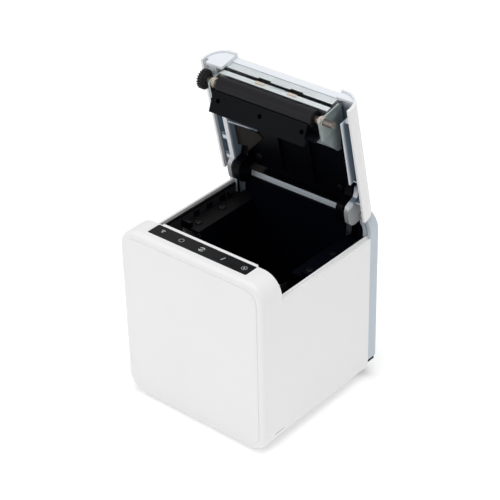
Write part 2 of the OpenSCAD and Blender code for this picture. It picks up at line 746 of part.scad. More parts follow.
module lid_cover() color("white") in_lid() difference() {
    union() {
        lid_skin(0, skin_t, 118);
        // thicker rim at the skirts' lower edge, with its snap hooks
        intersection() {
            along_y(lid_y0, side_d - gap) lid_section(0, lid_t, 118);
            box(-body_w, body_w, 0, body_d, 118, lining_z - 0.05);
        }
        snap_hooks(0);
    }
    // paper cut-out in the middle of the front edge
    box(-cut_half, cut_half, 0, 25, 110, 140);
    hinge_clearance();
}

// Wall at the inner side of a skirt
module skirt(x0, x1, y0, y1) { box(x0, x1, y0, y1, skirt_z, 134.2); }

// Rib across the left skirt: low between its walls, cut away where the tongue passes
module left_rib(y0, y1) {
    box(-59.2, -54, y0, y1, skirt_z + 1.4, 134.2);
    box(-62.3, -59, y0, y1, pocket_z, 134.2);
}

// Triangular brace between the left skirt and the liner
module left_brace() {
    translate([-50.4, 70, 0]) rotate(30) along_y(0, 1.3)
        polygon([[0, skirt_z + 0.4], [20, 129.5], [0, 129.5]]);
}

module lid_frame() color([0.8, 0.83, 0.86]) in_lid() difference() {
    union() {
        lid_skin(skin_t + 0.05, lid_t - skin_t - 0.05, lining_z);
        lid_inside() {
            // front wall: full height at the left corner, shallow at the right one
            box(-59.2, -cut_half, wall_y, wall_y + 2, skirt_z, 136);
            box(-62.5, -59, wall_y, wall_y + 2, pocket_z, 136);
            box(cut_half, 62.5, wall_y, wall_y + 2, 128.6, 136);
            // lip over the paper exit and its two cheeks
            box(-cut_half, cut_half, 25, 27, 130.1, 135);
            box(-cut_half - 1.2, -cut_half, wall_y, 27, 124, 135);
            box(cut_half, cut_half + 1.2, wall_y, 27, 130, 135);
            // inner walls of the hollow skirts, with their caps and ribs
            skirt(-54.1, -50.4, wall_y + 1, 106.4);
            skirt(54, 55.2, 34.8, 86.2);
            right_cap();
            for (y = [34.8, 85, 104.4]) box(54, 62.3, y, y + 1.2, pocket_z, 134.2);
            box(-62.3, -53, wall_y, 60, pocket_z, pocket_z + 1.4);
            left_rib(86, 89.2);
            left_rib(103.6, 106.4);
            both() box(57.5, 62.3, 109.4, 110.6, pocket_z, 134.2);
            left_brace();
            // screw posts
            for (x = [-post_x, post_x]) for (y = post_y) translate([x, y, 131]) cylinder(h = 4, r = 3);
        }
        both() along_x(goose_x0, goose_x1) gooseneck();
    }
    box(-cut_half, cut_half, 0, 25, 110, 140);
    snap_hooks(0.1);
    for (x = [-post_x, post_x]) for (y = post_y) translate([x, y, 130]) cylinder(h = 4, r = 1.1);
    difference() {
        hinge_clearance();
        both() along_x(goose_x0, goose_x1) gooseneck();
    }
    translate([0, hinge_y, hinge_z]) rod_x(-goose_x1 - 1, goose_x1 + 1, pin_r + slip);
}

// Cap over the front of the right skirt, with a slanted inner edge
module right_cap() {
    translate([0, 0, pocket_z]) linear_extrude(height = 1.4)
        polygon([[62.5, wall_y], [61.3, wall_y + 3], [55.2, 34.8], [54, 36], [62.5, 36]]);
}

// Facet of the liner that leads the roll away from the left wall
module liner_facet() {
    hull() {
        box(-50.2, -49.8, 73, 107, 124.6, 130);
        box(-30, -29, 84.6, 85, 129.4, 130);
    }
}

module lid_liner() color([0.03, 0.03, 0.035]) in_lid() difference() {
    union() {
        box(-50.2, 50.2, 46, 115, 129.6, 131);
        // low wall along the left side, taller cheek along the right one
        box(-50.2, -49, 73, 107, 124.6, 130);
        along_x(49, 50.2) polygon([[62, 130], [70, 122], [92, 121], [92, 130]]);
        liner_facet();
        box(-50.2, 50.2, hinge_y - liner_r - 1.6, hinge_y - liner_r + 0.1, 124, 130);
        for (x = [-14, 14]) along_x(x - 0.8, x + 0.8)
            polygon([[58, 130], [66, 127.6], [104, 127.6], [110, 130]]);
    }
    both() box(arm_x0 - gap, 51, 95, 120, 120, 132);
    for (x = [-post_x, post_x]) for (y = post_y) translate([x, y, 125]) {
        cylinder(h = 10, r = 1.3);
        cylinder(h = 4.6, r = 2.8);
    }
    translate([0, hinge_y, hinge_z]) rod_x(-body_w, body_w, liner_r);
}

// Arm from the lid down behind the bin's shelf and up to the hinge pin
module gooseneck() {
    difference() {
        union() {
            translate([hinge_y, hinge_z]) circle(hub_r);
            polygon([[96, 134], [96, 127.4], [100, 126.2], [102.8, 124.4], [103.6, 118.8], [104.6, 115.4],
                [107.4, 113.4], [111, 112.9], [117, 113], [120.2, 115.2], [arm_y1, 118.8], [arm_y1, 126.6],
                [hinge_y, hinge_z], [hinge_y - hub_r + 0.3, hinge_z + 1.4], [112.6, 134]]);
        }
        translate([hinge_y, hinge_z]) circle(pin_r + slip);
    }
}

module hinge_arms() color([0.08, 0.08, 0.09]) in_lid() both() difference() {
    along_x(arm_x0, arm_x1) gooseneck();
    // lightening pocket in the inner face
    along_x(arm_x0 - 1, arm_x0 + 2) translate([106, 119]) circle(1.7);
}

module lid_screws() color([0.3, 0.3, 0.32]) in_lid()
    for (x = [-post_x, post_x]) for (y = post_y) translate([x, y, 128.4]) screw_up(2.5, 1.2, 1.05, 4);

// ---------- blade unit in the lid ----------
module blade_holder() color([0.8, 0.82, 0.81]) in_lid() difference() {
    union() {
        box(-44.8, 44.8, blade_face, blade_face + 1, slot_z1, 129.8);
        box(-44.8, 44.8, blade_face, 40, 128.8, 129.8);
        both() box(43.8, 44.8, blade_face, 37.9, slot_z1, 129);
    }
    // reliefs over the two clips
    for (x = [-12.5, 15]) box(x - 5.4, x + 5.4, blade_face - 1, blade_face + 2, slot_z1 - 1, slot_z1 + 1.1);
}

module fixed_blade() color([0.86, 0.88, 0.87]) in_lid() {
    box(-46, 46, blade_face, blade_face + 1, 116.4, slot_z0);
    box(-46, 46, blade_face, blade_face + 5, 116.4, 117.2);
}

module blade_clips() color([0.9, 0.84, 0.76]) in_lid()
    for (x = [-12.5, 15]) {
        box(x - 3.6, x + 3.6, blade_face - 0.5, blade_face, 118.3, slot_z0);
    }

module blade_spring() color([0.6, 0.62, 0.62]) in_lid()
    translate([0, blade_face - 0.6, slot_z0 - 0.7]) {
        rod_x(-8.9, 11.4, 0.35, $fn = 24);
        for (x = [-6 : 2 : 8]) translate([x, 0, 0]) rod_x(-0.5, 0.5, 0.55, $fn = 24);
    }

module bracket_side() {
    polygon([[26.8, 116.2], [26.8, 108], [28, 105.8], [42.4, 105.8], [60.6, 119.8], [61.4, 123.4],
        [44, 125.4], [42.5, 129.4], [29.5, 129.4], [26.8, 128.6]]);
}

module platen_bracket() color([0.52, 0.56, 0.54]) in_lid() difference() {
    union() {
        both() along_x(bracket_x0, bracket_x1) bracket_side();
        box(-bracket_x1, bracket_x1, 38, 39.2, 118.8, 128.8);
        box(-bracket_x1, bracket_x1, 38, 60, 119.8, 121);
    }
    at_platen() rod_x(-60, 60, bushing_r + 0.02);
}

module platen_bushings() color([0.88, 0.8, 0.7]) in_lid() at_platen() both() difference() {
    union() {
        rod_x(bracket_x0 - 2, bracket_x1 + 0.5, bushing_r);
        rod_x(bracket_x0 - 0.9, bracket_x0 - 0.1, bushing_r + 0.6);
    }
    rod_x(30, 60, shaft_r + slip);
}

module platen_shaft() color("silver") in_lid() at_platen() rod_x(-57.6, 56, shaft_r);

module platen_rubber() color([0.12, 0.11, 0.11]) in_lid() at_platen() difference() {
    rod_x(-platen_half, platen_half, platen_r);
    rod_x(-60, 60, shaft_r);
}

module platen_gear() color([0.05, 0.05, 0.05]) in_lid() at_platen()
    translate([gear_x0, 0, 0]) rotate([90, 0, 90]) {
        linear_extrude(height = gear_x1 - gear_x0) rotate(platen_phase) gear_2d(platen_teeth, gear_m, shaft_r);
        difference() {
            cylinder(h = gear_x1 - gear_x0 + 0.6, r = 4);
            translate([0, 0, -1]) cylinder(h = 8, r = shaft_r);
        }
    }

module guide_outline() {
    polygon([[30.4, 104.4], [31.4, 103.2], [43, 95.6], [44.2, 97], [44.2, 98.4], [41, 100.6], [41, 106],
        [39.8, 106], [39.8, 101.2], [33, 105.6], [31.2, 105.6]]);
}

module paper_guide() color([0.09, 0.09, 0.1]) in_lid() {
    difference() {
        along_x(-41.8, 39) guide_outline();
        at_platen() rod_x(-60, 60, platen_r + 0.7);
        for (x = [-35.9, 0.5, 35.9]) translate([x, 35.8, 100.9]) rotate([-33, 0, 0])
            cylinder(h = 6, r = 1.7, center = true);
    }
    // ear and hood that join the guide to the bracket
    box(38.9, bracket_x0 - 0.1, 38.6, 41, 100.6, 106);
    box(-bracket_x0 + 0.1, bracket_x0 - 0.1, 39.3, 41, 104, 119.7);
}

// ---------- the set ----------
front_plate();
front_panel();
housing();
indicator_window();
indicator_icons();
rear_shell();
rear_caps();
io_panel();
dc_jack();
usb_port();
lan_port();
drawer_port();
switch_body();
switch_rocker();
base_plate();
rubber_feet();
base_screws();
paper_bin();
bin_screws();
near_end_sensor();
control_board();
chassis();
heat_sink();
thermal_head();
head_spring();
latch_springs();
feed_motor();
motor_pinion();
idler_gear();
cutter_frame();
moving_blade();
cutter_motor();
cutter_pinion();
hinge_pins();
lid_cover();
lid_frame();
lid_liner();
hinge_arms();
lid_screws();
blade_holder();
fixed_blade();
blade_clips();
blade_spring();
platen_bracket();
platen_shaft();
platen_rubber();
platen_bushings();
platen_gear();
paper_guide();
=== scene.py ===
import json
import math
import random

import bmesh
import bpy
from mathutils import Matrix, Vector
from mathutils.geometry import tessellate_polygon

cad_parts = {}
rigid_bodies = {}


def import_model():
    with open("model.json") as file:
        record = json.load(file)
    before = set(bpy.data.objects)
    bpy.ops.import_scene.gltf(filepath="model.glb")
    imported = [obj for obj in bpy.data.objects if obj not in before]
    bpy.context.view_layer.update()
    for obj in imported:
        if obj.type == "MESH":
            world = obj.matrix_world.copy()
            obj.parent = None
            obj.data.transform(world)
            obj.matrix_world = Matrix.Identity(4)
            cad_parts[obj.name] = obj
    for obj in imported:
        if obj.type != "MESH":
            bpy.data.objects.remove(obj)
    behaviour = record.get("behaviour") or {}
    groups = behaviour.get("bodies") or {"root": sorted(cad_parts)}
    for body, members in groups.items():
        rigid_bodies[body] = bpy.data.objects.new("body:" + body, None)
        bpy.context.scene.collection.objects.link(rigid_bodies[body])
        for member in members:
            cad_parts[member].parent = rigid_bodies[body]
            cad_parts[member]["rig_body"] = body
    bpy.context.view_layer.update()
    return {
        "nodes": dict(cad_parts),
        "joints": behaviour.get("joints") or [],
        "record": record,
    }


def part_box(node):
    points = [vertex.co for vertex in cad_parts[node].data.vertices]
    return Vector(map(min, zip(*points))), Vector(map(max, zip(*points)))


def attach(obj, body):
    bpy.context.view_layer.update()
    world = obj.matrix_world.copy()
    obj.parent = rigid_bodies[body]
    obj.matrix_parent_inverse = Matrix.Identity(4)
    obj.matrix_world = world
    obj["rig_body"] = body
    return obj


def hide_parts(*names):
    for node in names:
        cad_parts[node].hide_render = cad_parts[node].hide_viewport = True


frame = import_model()
random.seed(7)

MM = 0.001
MERGE = 0.002 * MM                          # corners of CAD triangles closer than this are one corner
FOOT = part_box("housing")[0].z / MM          # height of the housing above the floor, in mm
HALF_D = -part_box("front_panel")[0].y / MM   # half the depth of the body, in mm
NODES = frame["nodes"]
JOINTS = {j["name"]: j for j in frame["joints"]}
HINGE = Vector(JOINTS["lid_hinge"]["pos_m"])
LID_OPEN = math.radians(JOINTS["lid_hinge"]["range_deg"][1])


def at(x, y, z):
    """A point of the body, in mm across, back from the front face and up from the housing's underside."""
    return Vector((x, y - HALF_D, z + FOOT)) * MM


def lid_turn():
    """Matrix from the shut lid to the open one."""
    return Matrix.Translation(HINGE) @ Matrix.Rotation(-LID_OPEN, 4, "X") @ Matrix.Translation(-HINGE)


def height(z):
    """Height in the frame of a point z mm above the housing's underside."""
    return at(0, 0, z).z


def back(y):
    """Place along Y in the frame of a point y mm back from the front face."""
    return at(0, y, 0).y


# ---------------------------------------------------------------- materials
SPARK_GRAIN = 2600.0        # scale of the spark-eroded grain of moulded plastic
DEEP_GRAIN = 0.00002        # its depth on the rougher black mouldings, in metres
FINE_GRAIN = 0.00001        # its depth on the pale ones
MATT_IOR = 1.16             # low index of the black mouldings, which hardly shine


def node(tree, kind, **values):
    """A shader node, with its sockets or settings given by name."""
    n = tree.nodes.new(kind)
    for key, value in values.items():
        if key in n.inputs:
            n.inputs[key].default_value = value
        else:
            setattr(n, key, value)
    return n


def start_material(name, color, rough, metal=0.0, coat=0.0, ior=1.5):
    """A material with an even surface, its node tree and its shader."""
    m = bpy.data.materials.new(name)
    m.use_nodes = True
    m.diffuse_color = (*color, 1)
    bsdf = m.node_tree.nodes["Principled BSDF"]
    bsdf.inputs["Base Color"].default_value = (*color, 1)
    bsdf.inputs["Roughness"].default_value = rough
    bsdf.inputs["Metallic"].default_value = metal
    bsdf.inputs["Coat Weight"].default_value = coat
    bsdf.inputs["IOR"].default_value = ior
    return m, m.node_tree, bsdf


def coords(tree, stretch=(1, 1, 1)):
    """Place on the piece, stretched along its axes."""
    place = node(tree, "ShaderNodeTexCoord")
    mapping = node(tree, "ShaderNodeMapping")
    mapping.inputs["Scale"].default_value = stretch
    tree.links.new(place.outputs["Object"], mapping.inputs["Vector"])
    return mapping.outputs["Vector"]


def noise(tree, where, scale, detail=3.0, rough=0.5):
    """Cloudy value between 0 and 1."""
    n = node(tree, "ShaderNodeTexNoise", Scale=scale, Detail=detail, Roughness=rough)
    tree.links.new(where, n.inputs["Vector"])
    return n.outputs["Fac"]


def remap(tree, value, low, high, from_low=0.3, from_high=0.7):
    """A value moved from one span to another."""
    n = node(tree, "ShaderNodeMapRange")
    n.inputs["From Min"].default_value = from_low
    n.inputs["From Max"].default_value = from_high
    n.inputs["To Min"].default_value = low
    n.inputs["To Max"].default_value = high
    tree.links.new(value, n.inputs["Value"])
    return n.outputs["Result"]


def tint(tree, value, color, spread):
    """Colour that drifts a little either side of its mean."""
    low = tuple(max(c * (1 - spread), 0) for c in color)
    high = tuple(min(c * (1 + spread), 1) for c in color)
    return blend(tree, value, low, high)


def bump(tree, bsdf, relief, strength, distance):
    """Fine relief, with its depth in metres."""
    b = node(tree, "ShaderNodeBump", Strength=strength, Distance=distance)
    tree.links.new(relief, b.inputs["Height"])
    tree.links.new(b.outputs["Normal"], bsdf.inputs["Normal"])


def moulded(name, color, rough, grain=SPARK_GRAIN, depth=FINE_GRAIN, spread=0.012, ior=1.46):
    """Moulded plastic: a fine spark-eroded grain, a slow drift in colour and gloss."""
    m, tree, bsdf = start_material(name, color, rough, ior=ior)
    where = coords(tree)
    slow = noise(tree, where, 38.0)
    fine = noise(tree, where, grain, 2.0, 0.6)
    tree.links.new(tint(tree, remap(tree, slow, 0, 1), color, spread), bsdf.inputs["Base Color"])
    tree.links.new(remap(tree, slow, rough * 0.9, min(rough * 1.12, 1)), bsdf.inputs["Roughness"])
    bump(tree, bsdf, fine, 0.35, depth)
    return m


def black_moulded(name, color, rough, ior=MATT_IOR):
    """Black moulded plastic with a rough grain that hardly shines."""
    return moulded(name, color, rough, depth=DEEP_GRAIN, spread=0.3, ior=ior)


def sheet_metal(name, color, rough, grain=5200.0):
    """Rolled or brushed metal, with its grain along X."""
    m, tree, bsdf = start_material(name, color, rough, metal=1.0)
    streak = noise(tree, coords(tree, (0.02, 1, 1)), grain, 4.0, 0.65)
    slow = noise(tree, coords(tree), 60.0)
    tree.links.new(tint(tree, remap(tree, slow, 0, 1), color, 0.05), bsdf.inputs["Base Color"])
    tree.links.new(remap(tree, streak, rough * 0.75, rough * 1.35), bsdf.inputs["Roughness"])
    bump(tree, bsdf, streak, 0.3, 0.000004)
    return m


def zinc(name, color, rough):
    """Zinc-plated sheet: cloudy patches with a faint spangle."""
    m, tree, bsdf = start_material(name, color, rough, metal=0.85)
    where = coords(tree)
    cloud = noise(tree, where, 120.0, 5.0, 0.6)
    cells = node(tree, "ShaderNodeTexVoronoi", Scale=420.0)
    tree.links.new(where, cells.inputs["Vector"])
    spangle = remap(tree, cells.outputs["Distance"], 0.85, 1.15, 0.0, 1.0)
    patches = combine(tree, "MULTIPLY", cloud, spangle)
    tree.links.new(tint(tree, remap(tree, patches, 0, 1), color, 0.14), bsdf.inputs["Base Color"])
    tree.links.new(remap(tree, cloud, rough * 0.8, rough * 1.25), bsdf.inputs["Roughness"])
    bump(tree, bsdf, cloud, 0.2, FINE_GRAIN)
    return m


def rubber(name, color, rough, ior=1.5):
    """Ground rubber: matt, with a soft open grain."""
    m, tree, bsdf = start_material(name, color, rough, ior=ior)
    where = coords(tree)
    fine = noise(tree, where, 1800.0, 3.0, 0.7)
    slow = noise(tree, where, 90.0)
    tree.links.new(tint(tree, remap(tree, slow, 0, 1), color, 0.15), bsdf.inputs["Base Color"])
    tree.links.new(remap(tree, slow, rough * 0.9, min(rough * 1.1, 1)), bsdf.inputs["Roughness"])
    bump(tree, bsdf, fine, 0.5, DEEP_GRAIN)
    return m


def ramp(tree, value, start, end):
    """0 below start and 1 above end, smooth in between."""
    n = node(tree, "ShaderNodeMapRange", interpolation_type="SMOOTHSTEP")
    n.inputs["From Min"].default_value = start
    n.inputs["From Max"].default_value = end
    tree.links.new(value, n.inputs["Value"])
    return n.outputs["Result"]


def combine(tree, operation, first, second):
    """Two values joined by a sum, a product or the like."""
    n = node(tree, "ShaderNodeMath", operation=operation)
    tree.links.new(first, n.inputs[0])
    tree.links.new(second, n.inputs[1])
    return n.outputs["Value"]


def parts(tree, vector):
    """The three parts of a vector."""
    n = node(tree, "ShaderNodeSeparateXYZ")
    tree.links.new(vector, n.inputs["Vector"])
    return n.outputs


def turned_back(tree, source, kind, shift=None):
    """A point or a direction on the open lid, as it is with the lid shut, in its three parts."""
    shut = node(tree, "ShaderNodeMapping", vector_type=kind)
    shut.inputs["Rotation"].default_value = (LID_OPEN, 0, 0)
    if shift:
        shut.inputs["Location"].default_value = shift
    tree.links.new(source, shut.inputs["Vector"])
    return parts(tree, shut.outputs["Vector"])


def blend(tree, factor, first, second):
    """Mix of two colours, each a value or a socket."""
    n = node(tree, "ShaderNodeMix", data_type="RGBA")
    for socket, color in (("A", first), ("B", second)):
        if isinstance(color, tuple):
            n.inputs[socket].default_value = (*color, 1)
        else:
            tree.links.new(color, n.inputs[socket])
    tree.links.new(factor, n.inputs["Factor"])
    return n.outputs["Result"]


def on_lid(tree):
    """Where a point of the lid lies with the lid shut, and where its surface faces."""
    place = node(tree, "ShaderNodeTexCoord")
    shift = HINGE - Matrix.Rotation(LID_OPEN, 3, "X") @ HINGE
    return (turned_back(tree, place.outputs["Object"], "POINT", shift),
            turned_back(tree, place.outputs["Normal"], "VECTOR"))


def lid_plastic(name, rim, deep, arms, rough):
    """Plastic of the lid's frame: pale rims, painted shade down inside its hollow skirts, grey hinge
    arms.
    """
    m, tree, bsdf = start_material(name, rim, rough, ior=1.46)
    point, facing = on_lid(tree)
    # painted shade: the skirts open downwards, so the colour darkens upwards from their rims
    floor_depth = ramp(tree, point["Z"], height(125), height(128))
    wall_depth = ramp(tree, point["Z"], height(118.8), height(121))
    upright = ramp(tree, facing["Z"], -0.8, -0.4)
    depth = combine(tree, "MAXIMUM", floor_depth, combine(tree, "MULTIPLY", wall_depth, upright))
    inside = combine(tree, "MULTIPLY", depth, ramp(tree, point["Y"], back(31), back(36)))
    # the arms reach back between the skirts
    aside = node(tree, "ShaderNodeMath", operation="ABSOLUTE")
    tree.links.new(point["X"], aside.inputs[0])
    inboard = ramp(tree, aside.outputs["Value"], 55.0 * MM, 54.2 * MM)
    arm = combine(tree, "MULTIPLY", inboard, ramp(tree, point["Y"], back(104), back(108)))
    skirts = blend(tree, inside, rim, deep)
    tree.links.new(blend(tree, arm, skirts, arms), bsdf.inputs["Base Color"])
    bump(tree, bsdf, noise(tree, coords(tree), SPARK_GRAIN, 2.0, 0.6), 0.35, FINE_GRAIN)
    return m


def shade(m, mask, color):
    """Blend a colour into a finished material where the mask is 1."""
    tree = m.node_tree
    base = tree.nodes["Principled BSDF"].inputs["Base Color"]
    tree.links.new(blend(tree, mask, base.links[0].from_socket, color), base)
    return m


def bracket_zinc(name, color, cross_wall, rough):
    """Zinc-plated bracket whose cross wall, behind the paper slot, is near black where it faces forward.
    """
    m = zinc(name, color, rough)
    tree = m.node_tree
    point, facing = on_lid(tree)
    behind = ramp(tree, point["Y"], back(36), back(37.5))
    forward = ramp(tree, facing["Y"], -0.7, -0.95)
    return shade(m, combine(tree, "MULTIPLY", behind, forward), cross_wall)


def liner_plastic(name, color, facet, rough):
    """Black liner of the lid, a little paler and browner on the facet at its left side."""
    m = black_moulded(name, color, rough)
    tree = m.node_tree
    point, _ = on_lid(tree)
    left = ramp(tree, point["X"], -29 * MM, -32 * MM)
    low = ramp(tree, point["Z"], height(129.6), height(129.1))
    return shade(m, combine(tree, "MULTIPLY", left, low), facet)


def bin_plastic(name, deep, shelf, side, rough):
    """Black moulded plastic with painted light: paler, in patches, on the left shelf's upward faces and
    on the low wall beside it.
    """
    m, tree, bsdf = start_material(name, deep, rough, ior=MATT_IOR)
    place = node(tree, "ShaderNodeTexCoord")
    point = parts(tree, place.outputs["Object"])
    facing = parts(tree, place.outputs["Normal"])
    # painted light on the raised faces that face up, fading out towards the right
    raised = ramp(tree, point["Z"], height(110), height(111.8))
    flat = combine(tree, "MULTIPLY", raised, ramp(tree, facing["Z"], 0.6, 0.95))
    lit_shelf_left = combine(tree, "MULTIPLY", flat, ramp(tree, point["X"], 25 * MM, -25 * MM))
    patchy = remap(tree, noise(tree, place.outputs["Object"], 90.0), 0.75, 1)
    painted_shelf_light = blend(tree, combine(tree, "MULTIPLY", lit_shelf_left, patchy), deep, shelf)
    # painted light on the low left wall where it faces inward
    left = ramp(tree, point["X"], -56.8 * MM, -57.6 * MM)
    low = ramp(tree, point["Z"], height(118.2), height(117.4))
    inward = ramp(tree, facing["X"], 0.5, 0.9)
    wall = combine(tree, "MULTIPLY", combine(tree, "MULTIPLY", left, low), inward)
    tree.links.new(blend(tree, wall, painted_shelf_light, side), bsdf.inputs["Base Color"])
    bump(tree, bsdf, noise(tree, place.outputs["Object"], SPARK_GRAIN, 2.0, 0.6), 0.35, DEEP_GRAIN)
    return m


def board_lacquer(name, color):
    """Solder mask over copper tracks."""
    m, tree, bsdf = start_material(name, color, 0.35, coat=0.3)
    where = coords(tree)
    tracks = node(tree, "ShaderNodeTexBrick", Scale=160.0)
    tracks.inputs["Mortar Size"].default_value = 0.012
    tree.links.new(where, tracks.inputs["Vector"])
    copper = tuple(c * 1.7 for c in color)
    tree.links.new(blend(tree, tracks.outputs["Fac"], copper, color), bsdf.inputs["Base Color"])
    bump(tree, bsdf, noise(tree, where, 700.0), 0.2, DEEP_GRAIN)
    return m


BLACK = (0.0012, 0.0014, 0.0028)
ZINC = (0.43, 0.475, 0.465)
MATERIALS = {
    "casing_white": moulded("casing_white", (0.80, 0.80, 0.80), 0.42, spread=0.006),
    "casing_grey": moulded("casing_grey", (0.49, 0.545, 0.60), 0.40),
    "window_black": moulded("window_black", (0.012, 0.012, 0.013), 0.22, grain=900.0, depth=0.000002,
                            ior=1.2),
    "icon_ink": moulded("icon_ink", (0.55, 0.58, 0.60), 0.5),
    "black_plastic": black_moulded("black_plastic", BLACK, 0.42),
    "dark_frame": moulded("dark_frame", (0.02, 0.02, 0.022), 0.35, spread=0.1),
    "board_green": board_lacquer("board_green", (0.01, 0.07, 0.035)),
    "steel": sheet_metal("steel", (0.84, 0.89, 0.90), 0.42),
    "zinc_steel": zinc("zinc_steel", ZINC, 0.45),
    "aluminium_block": sheet_metal("aluminium_block", (0.60, 0.61, 0.62), 0.38),
    "ceramic_head": moulded("ceramic_head", (0.06, 0.045, 0.04), 0.2, spread=0.1),
    "white_gear": moulded("white_gear", (0.72, 0.70, 0.66), 0.45),
    "black_gear": moulded("black_gear", (0.008, 0.008, 0.008), 0.45, spread=0.2),
    "platen_rubber": rubber("platen_rubber", (0.006, 0.0062, 0.0085), 0.55, ior=1.3),
    "bushing_cream": moulded("bushing_cream", (0.52, 0.46, 0.39), 0.42, spread=0.04),
    "foot_rubber": rubber("foot_rubber", (0.03, 0.03, 0.03), 0.8),
    "plate_grey": moulded("plate_grey", (0.42, 0.43, 0.44), 0.5),
    "screw_steel": sheet_metal("screw_steel", (0.05, 0.05, 0.055), 0.4),
    "brass_spring": sheet_metal("brass_spring", (0.62, 0.44, 0.18), 0.3),
}
SLOT_OF = {s["node"]: s["material_slot"] for s in frame["record"]["subparts"]}
FINISH_OF = {
    # the second colour is painted shade inside the lid's skirts
    "lid_frame": lid_plastic("lid_plastic", (0.72, 0.75, 0.79), (0.20, 0.26, 0.33), (0.27, 0.28, 0.285),
                             0.4),
    # the second and third colours are painted light on the left shelf and the low wall beside it
    "paper_bin": bin_plastic("bin_plastic", (0.0016, 0.002, 0.0046), (0.009, 0.0085, 0.009),
                             (0.024, 0.024, 0.026), 0.42),
    "lid_liner": liner_plastic("liner_plastic", BLACK, (0.034, 0.031, 0.029), 0.42),
    "platen_bracket": bracket_zinc("bracket_zinc", ZINC, (0.006, 0.006, 0.007), 0.45),
    "paper_guide": black_moulded("guide_plastic", (0.0012, 0.0024, 0.0034), 0.42, ior=1.17),
    "chassis": sheet_metal("blackened_steel", (0.012, 0.012, 0.014), 0.5),
    "platen_shaft": sheet_metal("turned_steel", (0.17, 0.15, 0.135), 0.3, grain=3000.0),
}


def paint(obj, slot_name, piece=""):
    """A node's own finish if it has one, or else that of its material slot."""
    obj.data.materials.clear()
    obj.data.materials.append(FINISH_OF.get(piece, MATERIALS[slot_name]))


# ---------------------------------------------------------------- pieces
def add(name, mesh, body, slot_name, *replaced):
    """A new piece that rides on a body, takes a finish, and may stand for CAD nodes."""
    obj = bpy.data.objects.new(name, mesh)
    bpy.context.scene.collection.objects.link(obj)
    paint(obj, slot_name, replaced[0] if replaced else "")
    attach(obj, body)
    if replaced:
        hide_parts(*replaced)
    return obj


def clean_mesh(name, source):
    """The CAD mesh with its triangles joined into flat faces."""
    mesh = source.data.copy()
    mesh.name = name
    bm = bmesh.new()
    bm.from_mesh(mesh)
    bmesh.ops.remove_doubles(bm, verts=bm.verts, dist=MERGE)
    bmesh.ops.dissolve_limit(bm, angle_limit=math.radians(0.5), verts=bm.verts, edges=bm.edges)
    many_corners = 60
    bmesh.ops.triangulate(bm, faces=[f for f in bm.faces if len(f.verts) > many_corners])
    bm.to_mesh(mesh)
    bm.free()
    return mesh


def soften(name, width):
    """A CAD node with its edges rounded by a small radius, in mm."""
    source = NODES[name]
    mesh = clean_mesh(name + "_soft", source)
    obj = add(name + "_soft", mesh, source["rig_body"], SLOT_OF[name], name)
    edge_angle = math.radians(34)
    bevel = obj.modifiers.new("round", "BEVEL")
    bevel.width = width * MM
    bevel.segments = 2
    bevel.limit_method = "ANGLE"
    bevel.angle_limit = edge_angle
    bevel.use_clamp_overlap = True
    bevel.harden_normals = True
    mesh.shade_smooth()
    mesh.set_sharp_from_angle(angle=edge_angle)


# radius of the rounded edges of each node, in mm
EDGE_RADII = {
    "housing": 0.35, "front_panel": 0.12, "rear_shell": 0.35, "lid_cover": 0.3, "lid_frame": 0.2,
    "lid_liner": 0.3, "hinge_arms": 0.5, "paper_bin": 0.4, "platen_bracket": 0.15, "fixed_blade": 0.12,
    "blade_holder": 0.15, "chassis": 0.15, "cutter_frame": 0.15, "heat_sink": 0.15, "io_panel": 0.25,
    "indicator_window": 0.12, "platen_gear": 0.12, "platen_bushings": 0.15, "platen_shaft": 0.25,
    "base_plate": 0.2, "switch_rocker": 0.25, "switch_body": 0.2,
}


def tube(points, radius):
    """Six-sided wire along a list of points, closed at both ends."""
    sides = 6
    verts, faces = [], []
    for i, p in enumerate(points):
        ahead = points[min(i + 1, len(points) - 1)] - points[max(i - 1, 0)]
        turn = ahead.to_track_quat("Z", "Y")
        for k in range(sides):
            angle = 2 * math.pi * k / sides
            verts.append(p + turn @ Vector((radius * math.cos(angle), radius * math.sin(angle), 0)))
    last = (len(points) - 1) * sides
    for i in range(len(points) - 1):
        for k in range(sides):
            n = (k + 1) % sides
            faces.append((i * sides + k, i * sides + n, (i + 1) * sides + n, (i + 1) * sides + k))
    faces.append(tuple(reversed(range(sides))))
    faces.append(tuple(last + k for k in range(sides)))
    mesh = bpy.data.meshes.new("tube")
    mesh.from_pydata([v[:] for v in verts], [], faces)
    mesh.shade_smooth()
    mesh.set_sharp_from_angle(angle=math.radians(40))
    return mesh


def blade_coil():
    """The tension spring between the two clips of the fixed blade, with its hooks."""
    low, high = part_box("blade_spring")
    middle = (low + high) / 2
    coil_r, wire_r, hook = 0.43 * MM, 0.12 * MM, 2.2 * MM
    turns, steps = 22, 14
    start, end = low.x + hook, high.x - hook
    points = [Vector((low.x + wire_r, middle.y, middle.z))]
    for i in range(turns * steps + 1):
        angle = 2 * math.pi * i / steps
        points.append(Vector((start + (end - start) * i / (turns * steps),
                              middle.y + coil_r * math.cos(angle),
                              middle.z + coil_r * math.sin(angle))))
    points.append(Vector((high.x - wire_r, middle.y, middle.z)))
    add("blade_coil", tube(points, wire_r), "lid", "steel", "blade_spring")


def cross_outline(reach, half):
    """Outline of a cross recess, counter-clockwise."""
    corner = [(reach, -half), (reach, half), (half, half)]
    points = []
    for k in range(4):
        angle = math.pi / 2 * k
        for x, y in corner:
            points.append(Vector((x * math.cos(angle) - y * math.sin(angle),
                                  x * math.sin(angle) + y * math.cos(angle), 0)))
    return points


